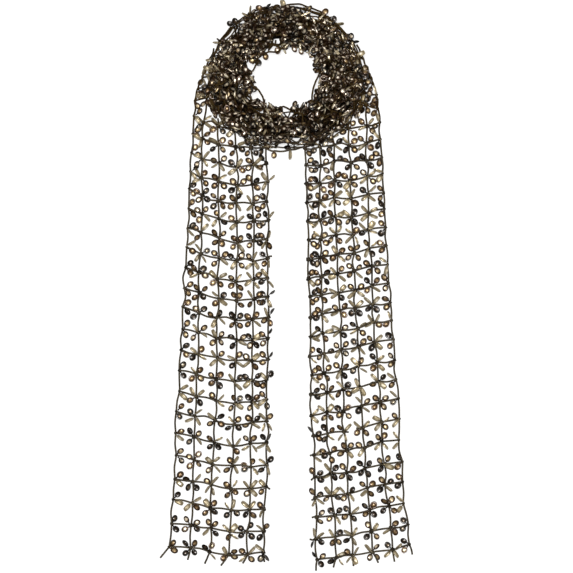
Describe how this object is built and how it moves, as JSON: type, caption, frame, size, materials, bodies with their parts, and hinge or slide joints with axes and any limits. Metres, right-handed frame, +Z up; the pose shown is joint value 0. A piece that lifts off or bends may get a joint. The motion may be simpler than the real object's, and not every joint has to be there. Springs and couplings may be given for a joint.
{
  "type": "sequin skinny scarf",
  "caption": "Narrow open-net scarf of dark knotted cord with bronze sequins, wound once into a neck ring and laid flat with two hanging tails.",
  "frame": {"origin": "centre of the bounding box, on the surface that the scarf lies on", "axes": "+Y along the tails from their cut ends towards the neck ring, +X across towards the right tail as seen from above, +Z up from the surface"},
  "size_m": [0.2663, 0.6029, 0.0254],
  "materials": {
    "net_cord": "matt crocheted rayon cord, olive black",
    "bunched_net": "bunched cord net, covered with sequins",
    "bronze_sequin": "metallised film, bronze gold, glossy",
    "black_sequin": "metallised film, brown black, glossy",
    "pale_sequin": "metallised film, pale champagne, glossy"
  },
  "bodies": {
    "root": {"left_tail_net": "net_cord", "right_tail_net": "net_cord", "left_tail_ends": "net_cord", "right_tail_ends": "net_cord", "front_wrap_net": "bunched_net", "left_shoulder_net": "bunched_net", "right_shoulder_net": "bunched_net", "back_neck_net": "bunched_net", "hidden_layers": "bunched_net"}
  },
  "joints": []
}
